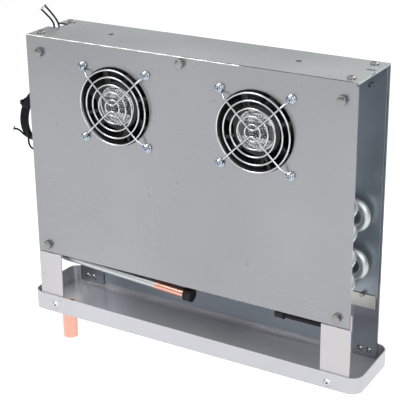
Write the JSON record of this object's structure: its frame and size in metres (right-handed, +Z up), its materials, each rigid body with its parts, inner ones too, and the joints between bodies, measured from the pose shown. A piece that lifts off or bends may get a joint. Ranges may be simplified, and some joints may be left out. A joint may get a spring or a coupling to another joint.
{
  "type": "two-fan refrigeration evaporator",
  "caption": "Slim sheet-metal evaporator that hangs from its top plate: guarded axial fans over a finned tube coil, with an air slot and a sloping drain pan with a drain stub below.",
  "frame": {"origin": "on the top plate's upper face, midway between its two hanging holes", "axes": "+X along the casing to the right as seen from the fans, +Y to the rear, +Z up; the fans face -Y"},
  "size_m": [0.3981, 0.0822, 0.3616],
  "materials": {
    "casing_sheet": "satin",
    "inner_sheet": "satin",
    "leg_sheet": "satin",
    "rear_sheet": "satin",
    "rail_sheet": "bright",
    "pan_sheet": "satin",
    "fin_foil": "satin",
    "coil_tube": "polished",
    "copper": "satin copper",
    "brass_fitting": "satin",
    "dark_tube": "lacquered copper",
    "cap_rubber": "matte",
    "fan_body": "fine grain",
    "winding": "enamelled",
    "rotor_plastic": "satin",
    "label_foil": "printed foil",
    "guard_chrome": "bright",
    "zinc_screw": "zinc plated",
    "rivet_metal": "bright",
    "lead_black": "smooth",
    "plug_white": "smooth"
  },
  "bodies": {
    "casing": {"top_plate": "casing_sheet", "fan_panel": "casing_sheet", "rear_panel": "inner_sheet", "side_plate_left": "inner_sheet", "side_plate_right": "inner_sheet", "leg_front_left": "leg_sheet", "leg_front_right": "leg_sheet", "leg_rear_left": "rear_sheet", "leg_rear_right": "rear_sheet", "coil_rail_front": "inner_sheet", "coil_rail_rear": "rail_sheet", "coil_fins": "fin_foil", "coil_tubes": "coil_tube", "coil_first_tube": "coil_tube", "hairpin_bends": "coil_tube", "return_bends": "coil_tube", "suction_tube": "coil_tube", "suction_stub": "copper", "liquid_tube": "dark_tube", "drain_pan": "pan_sheet", "drain_stub": "copper", "drain_collar": "brass_fitting", "fan_frame_left": "fan_body", "fan_frame_right": "fan_body", "fan_stator_left": "winding", "fan_stator_right": "winding", "fan_label_left": "label_foil", "fan_label_right": "label_foil", "finger_guard_left": "guard_chrome", "finger_guard_right": "guard_chrome", "guard_screws": "guard_chrome", "panel_screws": "zinc_screw", "top_screws": "zinc_screw", "rear_screws": "zinc_screw", "pan_rivets": "rivet_metal", "rear_leg_rivets": "zinc_screw", "lead_grommet": "cap_rubber", "fan_wiring": "lead_black", "fan_lead_front": "lead_black", "fan_lead_rear": "lead_black", "fan_lead_plug": "plug_white", "probe_clip": "plug_white", "probe_lead": "lead_black", "probe_lead_coil": "lead_black", "probe_lead_end": "lead_black", "probe_plug": "plug_white", "coil_tie": "lead_black", "tie_strap": "lead_black"},
    "rotor_left": {"fan_rotor_left": "rotor_plastic"},
    "rotor_right": {"fan_rotor_right": "rotor_plastic"},
    "suction_cap": {"suction_cap": "cap_rubber"},
    "liquid_cap": {"liquid_cap": "cap_rubber"}
  },
  "joints": [
    {"name": "fan_left_spin", "type": "hinge", "parent": "casing", "child": "rotor_left", "pos_m": [-0.0725, -0.05, -0.0585], "axis": [0, -1, 0], "continuous": true},
    {"name": "fan_right_spin", "type": "hinge", "parent": "casing", "child": "rotor_right", "pos_m": [0.0785, -0.05, -0.0585], "axis": [0, -1, 0], "continuous": true},
    {"name": "suction_cap_off", "type": "slide", "parent": "casing", "child": "suction_cap", "axis": [0.9986, 0, -0.0523], "range_m": [0, 0.06]},
    {"name": "liquid_cap_off", "type": "slide", "parent": "casing", "child": "liquid_cap", "axis": [-1, 0, 0], "range_m": [0, 0.05]}
  ]
}
